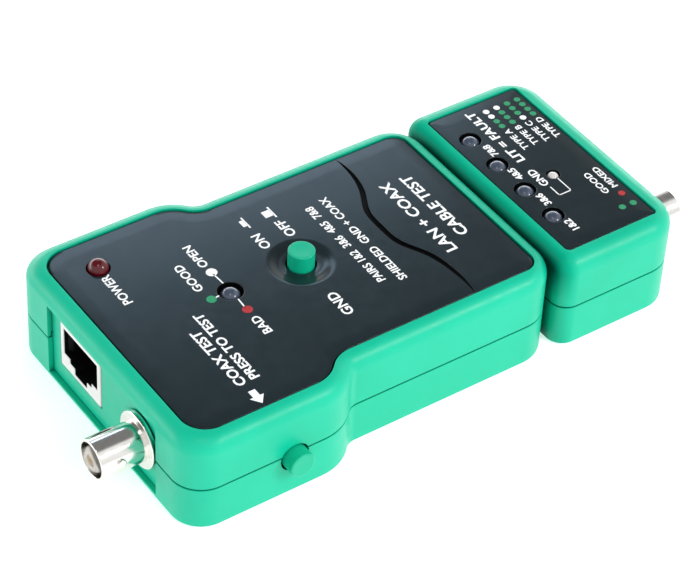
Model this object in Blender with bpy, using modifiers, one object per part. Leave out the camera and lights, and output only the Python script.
"""Network cable tester: a main unit with an RJ45 jack and a BNC jack, and a
remote terminator that docks on its other end.

Frame: +X is left to right as the face is read, +Y points to the main unit's
port end, +Z is up out of the face.  The origin is the middle of the main
unit's underside.  Lengths along Y are drawn from the plane where the two
units meet, and ORIGIN moves everything to the origin.
"""
import math

import bpy
import bmesh
from mathutils import Matrix, Vector

# ---------------------------------------------------------------- dimensions
# Lengths are in millimetres. MM turns them into metres as meshes are made.
MM = 0.001
GAP = 0.3                       # clearance between neighbouring pieces
ORIGIN = Vector((0.0, 51.0, 0.0))   # middle of the underside, seen from the dock plane
SMOOTH_ANGLE = math.radians(35)

# face plate of the main unit: wide at the port end, narrow at the dock end
PANEL_WIDE = 32.55              # half width, port end
PANEL_NARROW = 27.28            # half width, dock end
PANEL_Y0, PANEL_Y1 = 4.1, 97.8
PANEL_R_FRONT = 6.0             # corners of the face plate, port end
PANEL_R_REAR = 3.3              # corners of the face plate, dock end
GROW_FRONT, GROW_REAR = 0.37, 1.42  # growth of each corner radius per unit of offset
WAIST_R = 8.2                   # radius of the two arcs of the waist
WAIST_Y = 61.9                  # middle of the waist
PANEL_TOP = 24.45
PANEL_THICK = 1.5

# shells; the lower one has a tongue that fits inside the upper one
RIM = 4.24                      # face plate edge to outer wall
WALL = 2.0
INNER = RIM - WALL
HEIGHT = 24.7
PARTING = 11.1
SEAM = 0.2                      # each shell's distance from the parting plane
TOP_FILLET = 4.1
BOTTOM_FILLET = 0.35
FLOOR = 2.4
ROOF_UNDER = 21.2               # underside of the wall below the face plate
LIP_INSET = 1.2                 # outer wall to tongue
TONGUE_Z0, TONGUE_Z1 = 5, PARTING + 1.4
CAVITY_END = 20                 # cutter top, well above the lower shells
REBATE_Z0 = PARTING - 2

# port recess, shared by both units
RECESS_X0, RECESS_X1 = -23.1, 22.2
RECESS_TOP = 20.8               # the port recess stops under the rounded top edge
RECESS_REACH = 9                # cutter reach out past the port wall
PORT_WALL_TOP = 22.0
PORT_WALL_LAP = 0.7             # port wall stock that the recess cut trims off
RECESS_Y = 100.8
LEDGE = 1.0

# connectors
JACK_X0, JACK_X1 = 1.3, 18.3
JACK_Z0, JACK_Z1 = 6.2, 19.8
JACK_DEPTH = 16.5
JACK_PROUD = 0.2
BNC_X, BNC_Z = -16.0, 11.6
BNC_R = 4.85
BNC_HOLE_R = 5.1
BNC_REACH = 11.2                # barrel length in front of its flange
BNC_LUG_TURN = math.radians(10)

# controls and lamps on the main unit
BUTTON_XY = (1.45, 48.8)
BUTTON_R = 3.1
BUTTON_TOP = 28.1
BUTTON_TRAVEL = 2.2
DISH_R, DISH_DEPTH, DISH_ROUND = 8.0, 0.55, 2.6
POWER_LED_XY = (23.4, 88.1)
INDICATOR_XY = (1.6, 67.4)
TEST_Y, TEST_Z = 75.5, 10.0
TEST_R = 3.1
TEST_PROUD = 3.3

# collars under the face plates
COLLAR_Z = 18.3                 # lower end of the collars that shade the lamps
COLLAR_CLEAR = 0.4
HOLE_Z = (15, 26)               # cutter span through a face
# place, collar radius, collar low end, collar top, bore radius, segments
FITTINGS = (
    (BUTTON_XY, 4.5, 19.9, PANEL_TOP - 1.2, 3.65, 24),
    (POWER_LED_XY, 3.9, COLLAR_Z + 1.5, PANEL_TOP - 1, 2.8, 20),
    (INDICATOR_XY, 3.9, COLLAR_Z, PANEL_TOP - 1, 3.1, 20),
)

# inside the units
PCB_Z0, PCB_Z1 = 4.2, 5.8
BOARD_CUT_TOP = 10
BATTERY_LO = (-26.5, 5.6, 3.0)
BATTERY_HI = (19.1, 32.1, 20.5)
BATTERY_Y = (BATTERY_LO[1] + BATTERY_HI[1]) / 2
BATTERY_Z = (BATTERY_LO[2] + BATTERY_HI[2]) / 2
SNAP_X0, SNAP_X1 = BATTERY_HI[0] + 3.0, BATTERY_HI[0] + 5.2

# battery door and the side tongues that run in grooves of the floor
DOOR_X0 = -28.4
DOOR_Y0, DOOR_Y1 = 5.5, 32.2
DOOR_THICK = 1.8
DOOR_TONGUE = 1.2
DOOR_TONGUE_Z0, DOOR_TONGUE_Z1 = 1.0, 1.6
OUTSIDE_X = 40                  # cutter end past the side wall
BELOW = -2                      # cutter end under the underside

# screws, their posts and their holes: radius, z0, z1, segments
SCREWS = ((-29.3, 93.0), (29.3, 93.0), (-26.3, 37.8), (26.3, 37.8))
TOP_POST = (3.2, PARTING - 1.8, ROOF_UNDER + 0.6, 12)
PILOT_HOLE = (1.4, 5, 17, 8)
BOTTOM_POST_R, BOTTOM_POST_TOP, BOTTOM_POST_SEGMENTS = 4.2, PARTING - 2.1, 14
HEAD_HOLE = (3.3, BELOW, 3.5, 16)
SHANK_HOLE = (1.7, -1, 12, 10)
BOARD_HOLE = (4.7, 0, BOARD_CUT_TOP, 14)
CROSS_REACH, CROSS_HALF, CROSS_DEEP = 1.7, 0.35, 2.2    # cross recess in a screw head

# dock
DOCK_FACE_Y = PANEL_Y0 - RIM
RAIL_ROOT, RAIL_TIP, RAIL_DEPTH = 6.0, 8.0, 2.6     # half widths and depth
RAIL_Z0, RAIL_Z1 = 1.5, 9.5
SLOT_CLEAR = 0.35

# remote unit
R_PANEL_HALF = 27.0
R_PANEL_Y0, R_PANEL_Y1 = -30.0, -4.6
R_PANEL_R = 0.9
R_HALF = 31.85
R_Y0, R_Y1 = -35.6, -0.45
R_CORNER_DOCK, R_CORNER_END = 4.4, 8.8
R_FILLET = 4.2
R_FLOOR = 2.0
R_PANEL_TOP = 24.4
R_LED_Y = -9.4
R_LEDS = tuple((x, R_LED_Y) for x in (16.65, 6.0, -4.65, -15.3))
R_COLLAR_R, R_BORE_R = 3.6, 2.75
GND_LED_XY = (-3.7, -18.3)
GND_COLLAR_R, GND_BORE_R, GND_SHELL_HOLE_R = 2.6, 1.75, 2.95
R_RECESS_Y = R_Y0 + 1.24
R_SCREWS = ((-26.2, -8.6), (26.2, -8.6))
R_BNC_Z = 11.4
R_BNC_REACH = 8.9

# ---------------------------------------------------------------- scene setup
for old in list(bpy.data.objects):
    bpy.data.objects.remove(old, do_unlink=True)

parts = bpy.data.collections.new("network_cable_tester")
cutters = bpy.data.collections.new("cutters")
bpy.context.scene.collection.children.link(parts)
bpy.context.scene.collection.children.link(cutters)


def material(name, color, roughness, metallic=0.0):
    mat = bpy.data.materials.new(name)
    mat.use_nodes = True
    bsdf = mat.node_tree.nodes["Principled BSDF"]
    bsdf.inputs["Base Color"].default_value = (*color, 1.0)
    bsdf.inputs["Roughness"].default_value = roughness
    bsdf.inputs["Metallic"].default_value = metallic
    return mat


GREEN = material("green_abs", color=(0.03, 0.62, 0.38), roughness=0.42)
SLATE = material("slate_panel", color=(0.035, 0.047, 0.055), roughness=0.35)
RED_LENS = material("red_lens", color=(0.25, 0.01, 0.02), roughness=0.15)
CLEAR_LENS = material("clear_lens", color=(0.35, 0.38, 0.48), roughness=0.1)
NICKEL = material("nickel", color=(0.72, 0.70, 0.67), roughness=0.18, metallic=1.0)
PALE = material("pale_plastic", color=(0.72, 0.72, 0.70), roughness=0.45)
GOLD = material("gold_contacts", color=(0.83, 0.62, 0.25), roughness=0.25, metallic=1.0)
PCB = material("pcb", color=(0.02, 0.16, 0.07), roughness=0.5)
BLACK = material("black_plastic", color=(0.02, 0.02, 0.02), roughness=0.5)
STEEL = material("steel", color=(0.55, 0.55, 0.56), roughness=0.3, metallic=1.0)
JACKET = material("battery_jacket", color=(0.10, 0.10, 0.11), roughness=0.35)
FOAM = material("foam", color=(0.08, 0.08, 0.08), roughness=0.95)
RED_WIRE = material("red_wire", color=(0.6, 0.02, 0.02), roughness=0.45)
WHITE = material("white_plastic", color=(0.8, 0.8, 0.78), roughness=0.5)


# ---------------------------------------------------------------- making objects
def file_object(obj, mat):
    """Put a piece with its parts; an object without a material is a boolean helper."""
    if mat is None:
        cutters.objects.link(obj)
        obj.hide_render = True
        obj.display_type = 'WIRE'
    else:
        parts.objects.link(obj)
        obj.data.materials.append(mat)


def make(name, body, mat=None, origin=(0.0, 0.0, 0.0)):
    """Turn a bmesh in millimetres into an object in metres."""
    shift = Vector(origin)
    for vert in body.verts:
        vert.co = (vert.co - shift) * MM
    bmesh.ops.recalc_face_normals(body, faces=body.faces)
    mesh = bpy.data.meshes.new(name)
    body.to_mesh(mesh)
    body.free()
    obj = bpy.data.objects.new(name, mesh)
    obj.location = (shift - ORIGIN) * MM
    file_object(obj, mat)
    return obj


AXES = {
    'Z': Matrix.Identity(4),
    'Y': Matrix.Rotation(math.radians(-90), 4, 'X'),
    '-Y': Matrix.Rotation(math.radians(90), 4, 'X'),
    'X': Matrix.Rotation(math.radians(90), 4, 'Y'),
    '-X': Matrix.Rotation(math.radians(-90), 4, 'Y'),
}


def lathe(name, profile, mat=None, axis='Z', at=(0.0, 0.0, 0.0), steps=20, closed=False):
    """Turn (radius, height) points about an axis; the outer side runs from top to bottom."""
    mesh = bpy.data.meshes.new(name)
    edges = [(i, i + 1) for i in range(len(profile) - 1)]
    if closed:
        edges.append((len(profile) - 1, 0))
    mesh.from_pydata([(radius * MM, 0.0, height * MM) for radius, height in profile], edges, [])
    obj = bpy.data.objects.new(name, mesh)
    obj.matrix_world = Matrix.Translation((Vector(at) - ORIGIN) * MM) @ AXES[axis]
    turn = obj.modifiers.new("turn", 'SCREW')
    turn.axis = 'Z'
    turn.angle = math.tau
    turn.steps = steps
    turn.render_steps = steps
    turn.use_merge_vertices = True
    turn.merge_threshold = 0.00001      # metres
    turn.use_smooth_shade = True
    file_object(obj, mat)
    return obj


def boolean(target, tool, operation='DIFFERENCE'):
    mod = target.modifiers.new(operation.lower(), 'BOOLEAN')
    mod.operation = operation
    mod.solver = 'EXACT'
    mod.object = tool


def combine(target, prefix, operation, bodies):
    for index, body in enumerate(bodies):
        name = f"{prefix}_{target.name}_{index + len(target.modifiers)}"
        boolean(target, make(name, body), operation)


def cut(target, *bodies):
    combine(target, "cut", 'DIFFERENCE', bodies)


def fuse(target, *bodies):
    combine(target, "add", 'UNION', bodies)


# ---------------------------------------------------------------- bodies
def merged(*bodies):
    """One bmesh holding several separate bodies."""
    joined = bmesh.new()
    for body in bodies:
        mesh = bpy.data.meshes.new("tmp")
        body.to_mesh(mesh)
        body.free()
        joined.from_mesh(mesh)
        bpy.data.meshes.remove(mesh)
    return joined


def box(low, high, bevel=0.0, segments=1):
    body = bmesh.new()
    size = [b - a for a, b in zip(low, high)]
    middle = [(a + b) / 2 for a, b in zip(low, high)]
    place = Matrix.Translation(middle) @ Matrix.Diagonal((*size, 1.0))
    bmesh.ops.create_cube(body, size=1.0, matrix=place)
    if bevel:
        bmesh.ops.bevel(body, geom=list(body.edges), offset=bevel, segments=segments,
                        profile=0.5, affect='EDGES')
    return body


def rod(axis, at, radius, low, high, segments=20):
    """A cylinder along an axis between two heights, measured from at."""
    body = bmesh.new()
    place = Matrix.Translation(at) @ AXES[axis] @ Matrix.Translation((0, 0, (low + high) / 2))
    bmesh.ops.create_cone(body, cap_ends=True, segments=segments, radius1=radius,
                          radius2=radius, depth=high - low, matrix=place)
    return body


def uprights(places, radius, low, high, segments=20):
    """Vertical rods, one at each (x, y) place."""
    return [rod('Z', (x, y, 0), radius, low, high, segments) for x, y in places]


def prism(outline, z0, z1, top=0.0, top_segments=4, bottom=0.0):
    """A flat outline pulled up from z0 to z1, with rounded top or bottom edges."""
    body = bmesh.new()
    face = body.faces.new([body.verts.new((x, y, z0)) for x, y in outline])
    pulled = bmesh.ops.extrude_face_region(body, geom=[face])
    raised = [item for item in pulled['geom'] if isinstance(item, bmesh.types.BMVert)]
    bmesh.ops.translate(body, verts=raised, vec=(0, 0, z1 - z0))
    bmesh.ops.recalc_face_normals(body, faces=body.faces)
    for height, width, segments in ((z1, top, top_segments), (z0, bottom, 2)):
        if width:
            edges = [edge for edge in body.edges
                     if all(abs(vert.co.z - height) < 1e-4 for vert in edge.verts)]
            bmesh.ops.bevel(body, geom=edges, offset=width, segments=segments, profile=0.5,
                            affect='EDGES', clamp_overlap=False)
    return body


# ---------------------------------------------------------------- outlines
def span(plane, facing, behind, ahead):
    """Low and high end of a stretch about a plane that faces +1 or -1."""
    return sorted((plane - facing * behind, plane + facing * ahead))


def mirrored(side, middle=0.0):
    """Close an outline by adding the mirror image of one side of it."""
    return side + [(2 * middle - x, y) for x, y in reversed(side)]


def arc(center_x, center_y, radius, start, end, count):
    """Points on an arc, angles in degrees, both ends included."""
    angles = [math.radians(start + (end - start) * i / count) for i in range(count + 1)]
    return [(center_x + radius * math.cos(angle), center_y + radius * math.sin(angle))
            for angle in angles]


def main_outline(offset):
    """Outline of the main unit at a distance outside the face plate's edge."""
    corner, waist = 6, 4        # segments per arc
    swing = math.degrees(math.acos(1 - (PANEL_WIDE - PANEL_NARROW) / (2 * WAIST_R)))
    half = WAIST_R * math.sin(math.radians(swing))
    rear = PANEL_R_REAR + GROW_REAR * offset
    front = PANEL_R_FRONT + GROW_FRONT * offset
    side = arc(PANEL_NARROW + offset - rear, PANEL_Y0 - offset + rear, rear, -90, 0, corner)
    side += arc(PANEL_NARROW + WAIST_R, WAIST_Y - half, WAIST_R - offset,
                180, 180 - swing, waist)
    side += arc(PANEL_WIDE - WAIST_R, WAIST_Y + half, WAIST_R + offset, -swing, 0, waist)[1:]
    side += arc(PANEL_WIDE + offset - front, PANEL_Y1 + offset - front, front, 0, 90, corner)
    return mirrored(side)


def remote_outline(inset):
    """Outline of the remote at a distance inset inside its walls."""
    end, dock = R_CORNER_END - inset, R_CORNER_DOCK - inset
    side = arc(R_HALF - inset - end, R_Y0 + inset + end, end, -90, 0, 6)
    side += arc(R_HALF - inset - dock, R_Y1 - inset - dock, dock, 0, 90, 4)
    return mirrored(side)


def remote_panel_outline(grow):
    """Rounded rectangle of the remote's face plate, grown on all sides."""
    radius = R_PANEL_R + grow
    x = R_PANEL_HALF + grow - radius
    y0, y1 = R_PANEL_Y0 - grow + radius, R_PANEL_Y1 + grow - radius
    corners = ((x, y0, -90), (x, y1, 0), (-x, y1, 90), (-x, y0, 180))
    points = []
    for center_x, center_y, start in corners:
        points += arc(center_x, center_y, radius, start, start + 90, 4)
    return points


def dovetail(clearance, depth, root_y):
    """Dovetail of the dock, from root_y inside the main unit's end out to -depth."""
    root, tip = RAIL_ROOT + clearance, RAIL_TIP + clearance
    return mirrored([(-root, root_y), (-root, DOCK_FACE_Y), (-tip, -depth)])


# ---------------------------------------------------------------- port ends and test hole
def port_wall(plane, facing):
    y0, y1 = span(plane, facing, WALL, PORT_WALL_LAP)
    return box((RECESS_X0 + GAP, y0, LEDGE + GAP), (RECESS_X1 - GAP, y1, PORT_WALL_TOP))


def port_recess(plane, facing):
    """The hollow in front of the port wall, cut from an upper shell."""
    y0, y1 = span(plane, facing, 0, RECESS_REACH)
    return box((RECESS_X0, y0, -3), (RECESS_X1, y1, RECESS_TOP))


def port_notch(plane, facing):
    """Room in a lower shell for the port wall and the hollow in front of it."""
    y0, y1 = span(plane, facing, WALL + GAP, RECESS_REACH)
    return box((RECESS_X0, y0, LEDGE), (RECESS_X1, y1, 30))


def port_openings(plane, facing, bnc_z):
    """Holes through the port wall for both connectors."""
    behind, ahead = 4, 2
    y0, y1 = span(plane, facing, behind, ahead)
    return [box((JACK_X0 - GAP, y0, JACK_Z0 - GAP), (JACK_X1 + GAP, y1, JACK_Z1 + GAP)),
            rod('Y', (BNC_X, plane, bnc_z), BNC_HOLE_R, *span(0, facing, behind, ahead))]


def test_hole():
    """Hole for the test button through the left side wall."""
    return rod('-X', (0, TEST_Y, TEST_Z), TEST_R + 0.5, 33, 40)


# ---------------------------------------------------------------- main unit shells
def main_top_shell():
    shell = make("main_top_shell",
                 prism(main_outline(RIM), PARTING + SEAM, HEIGHT, top=TOP_FILLET), GREEN)
    cut(shell, prism(main_outline(INNER), TONGUE_Z1, ROOF_UNDER),
        prism(main_outline(RIM - LIP_INSET + GAP), REBATE_Z0, TONGUE_Z1 + GAP),
        prism(main_outline(0.35), PANEL_TOP - PANEL_THICK - GAP, HEIGHT + 2))
    fuse(shell, merged(port_wall(RECESS_Y, 1), *uprights(SCREWS, *TOP_POST)))
    holes = [rod('Z', (*place, 0), collar + COLLAR_CLEAR, *HOLE_Z)
             for place, collar, *_ in FITTINGS]
    cut(shell, port_recess(RECESS_Y, 1),
        merged(*port_openings(RECESS_Y, 1, BNC_Z), *holes, test_hole(),
               *uprights(SCREWS, *PILOT_HOLE)))


def main_bottom_shell():
    shell = make("main_bottom_shell",
                 prism(main_outline(RIM), 0, PARTING - SEAM, bottom=BOTTOM_FILLET), GREEN)
    fuse(shell, prism(main_outline(RIM - LIP_INSET), TONGUE_Z0, TONGUE_Z1))
    cut(shell, prism(main_outline(INNER), FLOOR, CAVITY_END))
    foot = FLOOR - 1            # ribs and posts start inside the floor
    ribs = [box((-20, y, foot), (20, y + 1.4, PCB_Z0 - GAP)) for y in (61, 84)]
    battery_rib = box((-21.5, 34.3, foot), (21.5, 35.5, 15))
    posts = uprights(SCREWS, BOTTOM_POST_R, foot, BOTTOM_POST_TOP, BOTTOM_POST_SEGMENTS)
    rail = prism(dovetail(0, RAIL_DEPTH, root_y=0.9), RAIL_Z0, RAIL_Z1)
    fuse(shell, merged(*posts, *ribs, battery_rib, rail))

    door_x0, door_y0, door_y1 = DOOR_X0 - GAP, DOOR_Y0 - GAP, DOOR_Y1 + GAP
    side_exit = box((28.8, door_y0, BELOW), (OUTSIDE_X, door_y1, DOOR_THICK + GAP))
    opening = box((door_x0, door_y0, BELOW), (29.2, door_y1, FLOOR + 0.6))
    grooves = box((door_x0, door_y0 - DOOR_TONGUE, DOOR_TONGUE_Z0 - GAP),
                  (OUTSIDE_X, door_y1 + DOOR_TONGUE, DOOR_TONGUE_Z1 + GAP))
    cut(shell, port_notch(RECESS_Y, 1), side_exit,
        merged(opening, test_hole(), *uprights(SCREWS, *HEAD_HOLE)),
        merged(grooves, *uprights(SCREWS, *SHANK_HOLE)))


# ---------------------------------------------------------------- main face plate
GROOVE_HALF_X = 26.6            # half length of the wavy groove
GROOVE_STEPS = 24
GROOVE_DEPTH = 1.0


def groove_y(x):
    """Line of the wavy groove across the face: flat at both sides with one swell."""
    swell = 5.7 / (1 + ((x - 1.8) / 11.2) ** 4)
    end_rise = 0.6 * max(0.0, (abs(x) - 20) / 7) ** 2
    return 21.0 + swell + end_rise


def groove_outline():
    """The groove's two edges, widest in the middle and thin at both ends."""
    points = []
    for side in (1, -1):
        for i in range(GROOVE_STEPS + 1):
            x = (-GROOVE_HALF_X + 2 * GROOVE_HALF_X * i / GROOVE_STEPS) * side
            half_width = 0.12 + 0.56 * (1 - (abs(x) / 26.7) ** 2.2)
            slope = (groove_y(x + 0.01) - groove_y(x - 0.01)) / 0.02
            shift = side * half_width / math.hypot(1, slope)
            points.append((x + slope * shift, groove_y(x) - shift))
    return points


def main_panel():
    panel = make("main_panel", prism(main_outline(0.0), PANEL_TOP - PANEL_THICK, PANEL_TOP,
                                     top=0.25, top_segments=1), SLATE)
    # shallow dish around the power button
    dish = [(0.0, PANEL_TOP + 1), (DISH_R, PANEL_TOP + 1), (DISH_R, PANEL_TOP)]
    dish += [(DISH_R - DISH_ROUND + DISH_ROUND * math.cos(angle),
              PANEL_TOP - DISH_DEPTH * math.sin(angle))
             for angle in map(math.radians, (30, 60, 90))]
    dish += [(0.0, PANEL_TOP - DISH_DEPTH)]
    boolean(panel, lathe("cut_dish", dish, at=(*BUTTON_XY, 0), steps=28))
    fuse(panel, merged(*[rod('Z', (*place, 0), collar, low, high, segments)
                         for place, collar, low, high, _, segments in FITTINGS]))
    cut(panel, prism(groove_outline(), PANEL_TOP - GROOVE_DEPTH, PANEL_TOP + 1),
        merged(*[rod('Z', (*place, 0), bore, *HOLE_Z, segments)
                 for place, _, _, _, bore, segments in FITTINGS]))


# ---------------------------------------------------------------- buttons and switches
def power_button():
    """Button cap, and the switch on the board below it."""
    x, y = BUTTON_XY
    switch_top, plunger_top = 15.2, 22.0
    cap_low = switch_top + BUTTON_TRAVEL + 0.3
    skirt_r, skirt_top = 4.1, cap_low + 1.3
    plunger_half, body_half = 1.5, 4.2
    socket_half = plunger_half + GAP

    cap = lathe("power_button",
                [(0.0, BUTTON_TOP), (BUTTON_R - 0.35, BUTTON_TOP), (BUTTON_R, BUTTON_TOP - 0.4),
                 (BUTTON_R, skirt_top), (skirt_r, skirt_top), (skirt_r, cap_low),
                 (0.0, cap_low)],
                GREEN, at=(x, y, 0), steps=24)

    def block(half, z0, z1, bevel=0.0):
        return box((x - half, y - half, z0), (x + half, y + half, z1), bevel)

    cut(cap, block(socket_half, cap_low - 1, plunger_top + GAP))
    make("power_switch_plunger", block(plunger_half, switch_top - 3.2, plunger_top), WHITE,
         origin=(x, y, 0))
    switch = make("power_switch_body", block(body_half, PCB_Z1 + GAP, switch_top, 0.3), BLACK)
    cut(switch, block(socket_half, switch_top - 6, switch_top + 2))


def test_button():
    """Button in the left side wall, and the switch behind it."""
    wall = PANEL_WIDE + RIM     # distance of the outer wall from the middle
    tip, flange_r, flange_face, back = wall + TEST_PROUD, 3.85, wall - 2.4, wall - 3.3
    plunger_r = 1.7
    lathe("test_button",
          [(0.0, tip), (TEST_R - 0.3, tip), (TEST_R, tip - 0.3), (TEST_R, flange_face),
           (flange_r, flange_face), (flange_r, back), (0.0, back)],
          GREEN, axis='-X', at=(0, TEST_Y, TEST_Z), steps=24)
    axis_at = (0, TEST_Y, TEST_Z)
    make("tact_switch_plunger", rod('-X', axis_at, plunger_r, 27.2, back - GAP, 14), WHITE,
         origin=(-30, TEST_Y, TEST_Z))
    body = box((-28.6, TEST_Y - 3.1, PCB_Z1 + GAP), (-24.4, TEST_Y + 3.1, 13.2), 0.25)
    switch = make("tact_switch_body", body, BLACK)
    cut(switch, rod('-X', axis_at, plunger_r + GAP, 25.4, 30, 14))


# ---------------------------------------------------------------- lamps
def lamp(name, place, crown, mat, radius=2.45, steps=14):
    """A lamp with a domed lens, a flange at its foot and two legs down to the board."""
    x, y = place
    base = crown - 3.45 * radius
    flange_r, flange_top = radius * 1.17, base + 1.0
    profile = [(0.0, crown)]
    profile += [(radius * math.sin(angle), crown - radius + radius * math.cos(angle))
                for angle in map(math.radians, (22, 45, 68, 90))]
    profile += [(radius, flange_top), (flange_r, flange_top), (flange_r, base), (0.0, base)]
    obj = lathe(name, profile, mat, at=(x, y, 0), steps=steps)
    leg = 0.25                  # half width
    fuse(obj, merged(*[box((leg_x - leg, y - leg, PCB_Z1 + GAP), (leg_x + leg, y + leg, base + 0.6))
                       for leg_x in (x - radius * 0.5, x + radius * 0.5)]))


# ---------------------------------------------------------------- connectors
def rj45(prefix, plane, facing):
    """Jack housing with a stepped opening, a guide insert and a comb of eight contacts."""
    middle = (JACK_X0 + JACK_X1) / 2
    face = plane + facing * JACK_PROUD
    roof = JACK_Z1 - 2.1
    sill, step = roof - 7.4, roof - 8.7

    y0, y1 = span(face, facing, JACK_DEPTH, 0)
    housing = make(prefix + "_rj45_housing",
                   box((JACK_X0, y0, JACK_Z0), (JACK_X1, y1, JACK_Z1), 0.2), PALE)
    # half width and height of each corner of the opening
    steps = ((7.1, roof), (7.1, sill), (4.6, sill), (4.6, step), (2.6, step), (2.6, JACK_Z0 + 1.0))
    opening = mirrored([(middle - half, z) for half, z in steps], middle)
    tool = prism(opening, *span(face, facing, JACK_DEPTH - 1.6, 1))
    # stand the prism up; swapping Y and Z mirrors it, so its faces are turned back
    swap_yz = Matrix(((1, 0, 0, 0), (0, 0, 1, 0), (0, 1, 0, 0), (0, 0, 0, 1)))
    bmesh.ops.transform(tool, matrix=swap_yz, verts=tool.verts)
    bmesh.ops.reverse_faces(tool, faces=tool.faces)
    cut(housing, tool)

    def from_face(points):
        """Turn (x, depth behind the face) into (x, y)."""
        return [(x, face - facing * depth) for x, depth in points]

    # dark guide insert: two cheeks joined by a back wall
    outer, inner, back = 6.8, 6.05, 14.3
    cheeks = mirrored([(middle - outer, 1.0), (middle - inner, 1.9), (middle - inner, 13.0)],
                      middle)
    cheeks += [(middle + outer, back), (middle - outer, back)]
    make(prefix + "_rj45_insert", prism(from_face(cheeks), sill + GAP, roof - GAP), BLACK)

    # contact comb: a spine at the back and eight fingers that droop to their tips
    pitch, finger, spine_half = 1.02, 0.5, 4.5
    back, spine, tip = 12.7, 11.5, 4.0
    thickness, droop = 0.35, 0.35
    comb = [(middle - spine_half, back), (middle - spine_half, spine)]
    for i in range(8):
        x = middle + (i - 3.5) * pitch
        left, right = x - finger / 2, x + finger / 2
        comb += [(left, spine), (left, tip), (right, tip), (right, spine)]
    comb += [(middle + spine_half, spine), (middle + spine_half, back)]
    low = roof - 0.7
    contacts = prism(from_face(comb), low, low + thickness)
    for vert in contacts.verts:
        depth = (face - vert.co.y) * facing
        vert.co.z -= droop * max(0.0, (spine - depth) / (spine - tip))
    make(prefix + "_rj45_contacts", contacts, GOLD)


def bnc(prefix, z, plane, facing, reach):
    """Bulkhead BNC jack: shell with lugs and flange, insulator, centre socket and nut."""
    axis = 'Y' if facing > 0 else '-Y'
    at = (BNC_X, plane, z)
    flange = 1.6                # flange face in front of the wall
    tip = flange + reach
    mouth_r, flange_r, thread_r, bore_r = 4.2, 6.8, 4.75, 3.3
    thread_end = -6.4
    shell = lathe(prefix + "_bnc_shell",
                  [(mouth_r, tip), (BNC_R - 0.2, tip), (BNC_R, tip - 0.25), (BNC_R, flange),
                   (flange_r, flange), (flange_r, flange - 1.2), (thread_r, flange - 1.2),
                   (thread_r, thread_end), (bore_r, thread_end), (bore_r, flange + 1.0),
                   (mouth_r, flange + 1.0)],
                  NICKEL, axis=axis, at=at, steps=24, closed=True)
    lugs = []
    for turn in (0, math.pi):
        lug = rod('Z', (0, 0, 0), 0.95, BNC_R - 0.35, BNC_R + 0.65, 10)
        swing = (Matrix.Translation((BNC_X, plane + facing * (tip - 4.7), z))
                 @ Matrix.Rotation(-math.pi / 2 + (turn + BNC_LUG_TURN), 4, 'Y'))
        bmesh.ops.transform(lug, matrix=swing, verts=lug.verts)
        lugs.append(lug)
    fuse(shell, merged(*lugs))
    lathe(prefix + "_bnc_insulator",
          [(1.45, tip - 2.6), (3.05, tip - 2.6), (3.05, -5.9), (1.45, -5.9)],
          PALE, axis=axis, at=at, steps=18, closed=True)
    lathe(prefix + "_bnc_contact",
          [(0.0, tip - 6.0), (0.65, tip - 6.0), (0.65, tip - 3.1), (1.1, tip - 3.1),
           (1.1, -5.0), (0.6, -5.0), (0.6, -8.6), (0.0, -8.6)],
          GOLD, axis=axis, at=at, steps=12)
    nut = make(prefix + "_bnc_nut", rod(axis, at, 8.0, -4.6, -2.3, 6), NICKEL)
    cut(nut, rod(axis, at, thread_r + GAP, -6, 0))


# ---------------------------------------------------------------- boards and circuits
def main_pcb():
    end_x, end_y = 27.3, 42.6   # corners at the dock end
    sides = [point for point in main_outline(RIM - 4.0) if point[1] > 45]
    pcb = make("main_pcb",
               prism([(end_x, end_y), *sides, (-end_x, end_y)], PCB_Z0, PCB_Z1), PCB)
    bnc_notch = box((-40, 91.5, 0), (BNC_X + 9, 105, BOARD_CUT_TOP))
    cut(pcb, bnc_notch, merged(*uprights(SCREWS[:2], *BOARD_HOLE)))


def remote_pcb():
    side = arc(29.2 - 6.3, -31.4 + 6.3, 6.3, -90, 0, 5) + arc(28.2, -7.2, 1.0, 0, 90, 2)
    pcb = make("remote_pcb", prism(mirrored(side), PCB_Z0, PCB_Z1), PCB)
    bnc_notch = box((BNC_X - 9, -40, 0), (BNC_X + 9, -25.2, BOARD_CUT_TOP))
    cut(pcb, merged(bnc_notch, *uprights(R_SCREWS, *BOARD_HOLE)))


def chip(name, x, y, length):
    """A dual in-line circuit: a body and two rows of legs."""
    pitch, half_width, leg = 2.54, 3.2, 0.4
    body = box((x - length / 2, y - half_width, PCB_Z1 + 0.8),
               (x + length / 2, y + half_width, PCB_Z1 + 4.1), 0.35)
    obj = make(name, body, BLACK)
    count = int(length // pitch)
    legs = []
    for i in range(count):
        leg_x = x + (i - (count - 1) / 2) * pitch
        for side in (-1, 1):
            y0, y1 = sorted((y + side * 3.0, y + side * 3.7))
            legs.append(box((leg_x - leg, y0, PCB_Z1 + GAP), (leg_x + leg, y1, PCB_Z1 + 2.2)))
    fuse(obj, merged(*legs))


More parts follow.
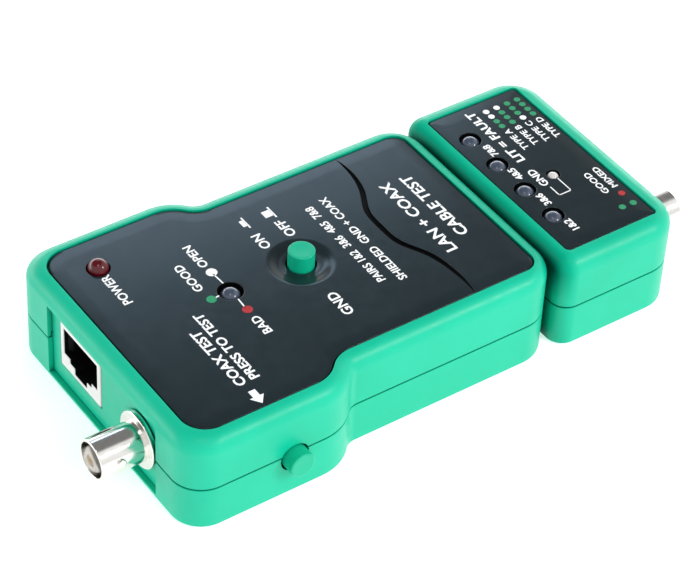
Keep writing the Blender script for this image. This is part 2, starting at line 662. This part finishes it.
# ---------------------------------------------------------------- battery and leads
def battery():
    cell = make("battery_9v", box(BATTERY_LO, BATTERY_HI, 1.2, 2), JACKET)
    end = BATTERY_HI[0]
    # offset along Y, radius and segments of the two terminals
    terminals = ((-6.35, 3.9, 8), (6.35, 2.8, 14))
    fuse(cell, merged(*[rod('X', (0, BATTERY_Y + offset, BATTERY_Z), radius,
                            end - 1, end + 2.7, segments)
                        for offset, radius, segments in terminals]))

    def pad(name, x0, x1, half_y, half_z, bevel, mat):
        make(name, box((x0, BATTERY_Y - half_y, BATTERY_Z - half_z),
                       (x1, BATTERY_Y + half_y, BATTERY_Z + half_z), bevel), mat)

    pad("battery_snap", SNAP_X0, SNAP_X1, half_y=12.6, half_z=6, bevel=0.6, mat=BLACK)
    pad("battery_foam", -29.2, -26.8, half_y=10, half_z=7, bevel=0.3, mat=FOAM)


WIRE_R = 0.65
LEAD_X = SNAP_X1 + WIRE_R + GAP
# (x, y, z) knots from the snap to the board
RED_KNOTS = (
    (LEAD_X, 27.0, BATTERY_Z + 1.8), (LEAD_X, 28.0, 16.5), (24.2, 30.2, 19.3),
    (21.4, 34.9, 18.6), (20.6, 40.5, 14.6), (20.5, 45.2, 9.0), (20.5, 46.0, PCB_Z1 + GAP),
)
BLACK_KNOTS = (
    (LEAD_X, 21.6, BATTERY_Z + 2.8), (LEAD_X, 22.6, 17.4), (23.2, 25.4, 19.7),
    (20.6, 31.0, 19.6), (18.0, 36.2, 18.2), (17.0, 43.4, 11.0), (17.0, 46.0, PCB_Z1 + GAP),
)


def through(places, count=3):
    """A smooth path through the places (Catmull-Rom), count steps between each two."""
    knots = [Vector(place) for place in places]
    knots = [knots[0] * 2 - knots[1]] + knots + [knots[-1] * 2 - knots[-2]]
    points = []
    for i in range(1, len(knots) - 2):
        before, start, end, after = knots[i - 1:i + 3]
        for j in range(count):
            t = j / count
            points.append(0.5 * ((2 * start) + (end - before) * t
                                 + (2 * before - 5 * start + 4 * end - after) * t * t
                                 + (3 * start - before - 3 * end + after) * t ** 3))
    return points + [knots[-2]]


def wire(name, points, mat):
    """An insulated lead: a bent tube with flat closed ends."""
    curve = bpy.data.curves.new(name, 'CURVE')
    curve.dimensions = '3D'
    curve.bevel_depth = WIRE_R * MM
    curve.bevel_resolution = 1
    curve.use_fill_caps = True
    spline = curve.splines.new('POLY')
    spline.points.add(len(points) - 1)
    for target, point in zip(spline.points, points):
        target.co = (*(value * MM for value in point), 1)
    guide = bpy.data.objects.new(name + "_guide", curve)
    cutters.objects.link(guide)
    guide.location = -ORIGIN * MM
    bpy.context.view_layer.update()
    evaluated = guide.evaluated_get(bpy.context.evaluated_depsgraph_get())
    mesh = bpy.data.meshes.new_from_object(evaluated)
    # weld the end caps to the tube
    body = bmesh.new()
    body.from_mesh(mesh)
    bmesh.ops.remove_doubles(body, verts=body.verts, dist=1e-6)
    bmesh.ops.recalc_face_normals(body, faces=body.faces)
    body.to_mesh(mesh)
    body.free()
    obj = bpy.data.objects.new(name, mesh)
    obj.matrix_world = guide.matrix_world
    file_object(obj, mat)
    bpy.data.objects.remove(guide, do_unlink=True)
    bpy.data.curves.remove(curve)


def battery_door():
    """Door in the underside that slides out of the right-hand side."""
    plate = box((DOOR_X0, DOOR_Y0, 0), (PANEL_NARROW + RIM, DOOR_Y1, DOOR_THICK))
    door = make("battery_door", plate, GREEN, origin=(0, (DOOR_Y0 + DOOR_Y1) / 2, 0))
    trim = make("trim_battery_door", prism(main_outline(RIM), 0, 5, bottom=BOTTOM_FILLET))
    boolean(door, trim, 'INTERSECT')
    fuse(door, box((DOOR_X0, DOOR_Y0 - DOOR_TONGUE, DOOR_TONGUE_Z0),
                   (PANEL_NARROW + 0.5, DOOR_Y1 + DOOR_TONGUE, DOOR_TONGUE_Z1)))
    # four short grooves in the outer face
    pitch, width = 2.2, 1.1
    cut(door, merged(*[box((20 + i * pitch, 12, -1), (20 + width + i * pitch, 26, 0.45))
                       for i in range(4)]))


def screw(name, x, y):
    """Pan-head case screw driven from below, with a cross recess."""
    head_r, shank_r, head_low, head_high = 2.8, 1.2, 1.3, 3.2
    obj = lathe(name, [(0.0, 15.0), (0.5, 15.0), (shank_r, 13.4), (shank_r, head_high),
                       (head_r, head_high), (head_r, 1.9), (2.2, head_low), (0.0, head_low)],
                STEEL, at=(x, y, 0), steps=12)
    cut(obj, *[box((x - half_x, y - half_y, 0), (x + half_x, y + half_y, CROSS_DEEP))
               for half_x, half_y in ((CROSS_REACH, CROSS_HALF), (CROSS_HALF, CROSS_REACH))])


# ---------------------------------------------------------------- remote unit
def remote_top_shell():
    shell = make("remote_top_shell",
                 prism(remote_outline(0), PARTING + SEAM, HEIGHT, top=R_FILLET), GREEN)
    cut(shell, prism(remote_outline(WALL), TONGUE_Z1, ROOF_UNDER),
        prism(remote_outline(LIP_INSET - GAP), REBATE_Z0, TONGUE_Z1 + GAP),
        prism(remote_panel_outline(GAP), R_PANEL_TOP - PANEL_THICK - GAP, HEIGHT + 2))
    fuse(shell, merged(port_wall(R_RECESS_Y, -1), *uprights(R_SCREWS, *TOP_POST)))
    cut(shell, port_recess(R_RECESS_Y, -1),
        merged(*port_openings(R_RECESS_Y, -1, R_BNC_Z),
               *uprights(R_LEDS, R_COLLAR_R + COLLAR_CLEAR, *HOLE_Z),
               rod('Z', (*GND_LED_XY, 0), GND_SHELL_HOLE_R, *HOLE_Z, 16),
               *uprights(R_SCREWS, *PILOT_HOLE)))


def remote_bottom_shell():
    shell = make("remote_bottom_shell",
                 prism(remote_outline(0), 0, PARTING - SEAM, bottom=BOTTOM_FILLET), GREEN)
    fuse(shell, prism(remote_outline(LIP_INSET), TONGUE_Z0, TONGUE_Z1))
    cut(shell, prism(remote_outline(WALL), R_FLOOR, CAVITY_END))
    foot = R_FLOOR - 1
    slot_backing = box((-11, R_Y1 - 5.2, foot), (11, R_Y1 - 1.5, PARTING + 0.4))
    posts = uprights(R_SCREWS, BOTTOM_POST_R, foot, BOTTOM_POST_TOP, BOTTOM_POST_SEGMENTS)
    fuse(shell, merged(slot_backing, *posts))
    slot = dovetail(SLOT_CLEAR, RAIL_DEPTH + GAP, root_y=1.0)
    cut(shell, port_notch(R_RECESS_Y, -1),
        merged(prism(slot, BELOW, RAIL_Z1 + 0.4), *uprights(R_SCREWS, *HEAD_HOLE)),
        merged(*uprights(R_SCREWS, *SHANK_HOLE)))


def remote_panel():
    panel = make("remote_panel",
                 prism(remote_panel_outline(0), R_PANEL_TOP - PANEL_THICK, R_PANEL_TOP,
                       top=0.3, top_segments=1), SLATE)
    collar_top = R_PANEL_TOP - 1
    fuse(panel, merged(*uprights(R_LEDS, R_COLLAR_R, COLLAR_Z, collar_top),
                       rod('Z', (*GND_LED_XY, 0), GND_COLLAR_R, 21.3, collar_top, 16)))
    cut(panel, merged(*uprights(R_LEDS, R_BORE_R, *HOLE_Z),
                      rod('Z', (*GND_LED_XY, 0), GND_BORE_R, 20, HOLE_Z[1], 16)))


# ---------------------------------------------------------------- build
main_top_shell()
main_bottom_shell()
main_panel()
power_button()
test_button()
lamp("power_led", POWER_LED_XY, crown=26.7, mat=RED_LENS)
lamp("indicator_led", INDICATOR_XY, crown=24.9, mat=CLEAR_LENS)
rj45("main", RECESS_Y, 1)
bnc("main", BNC_Z, RECESS_Y, 1, BNC_REACH)
main_pcb()
chip("logic_ic", -12.5, 62.0, length=19.0)
battery()
wire("battery_lead_red", through(RED_KNOTS), RED_WIRE)
wire("battery_lead_black", through(BLACK_KNOTS), BLACK)
battery_door()
for unit, places in (("main", SCREWS), ("remote", R_SCREWS)):
    for number, place in enumerate(places, 1):
        screw(f"{unit}_screw_{number}", *place)

remote_top_shell()
remote_bottom_shell()
remote_panel()
for number, place in enumerate(R_LEDS, 1):
    lamp(f"remote_led_{number}", place, crown=24.85, mat=CLEAR_LENS)
lamp("gnd_led", GND_LED_XY, crown=24.7, mat=PALE, radius=1.45, steps=12)
rj45("remote", R_RECESS_Y, -1)
bnc("remote", R_BNC_Z, R_RECESS_Y, -1, R_BNC_REACH)
remote_pcb()
chip("remote_ic", -13.0, -19.2, length=9.9)

# smooth shading with sharp edges, except on pieces whose faces are smooth already
for part in parts.objects:
    faces = part.data.polygons
    if not faces or not faces[0].use_smooth:
        part.data.shade_smooth()
        part.data.set_sharp_from_angle(angle=SMOOTH_ANGLE)
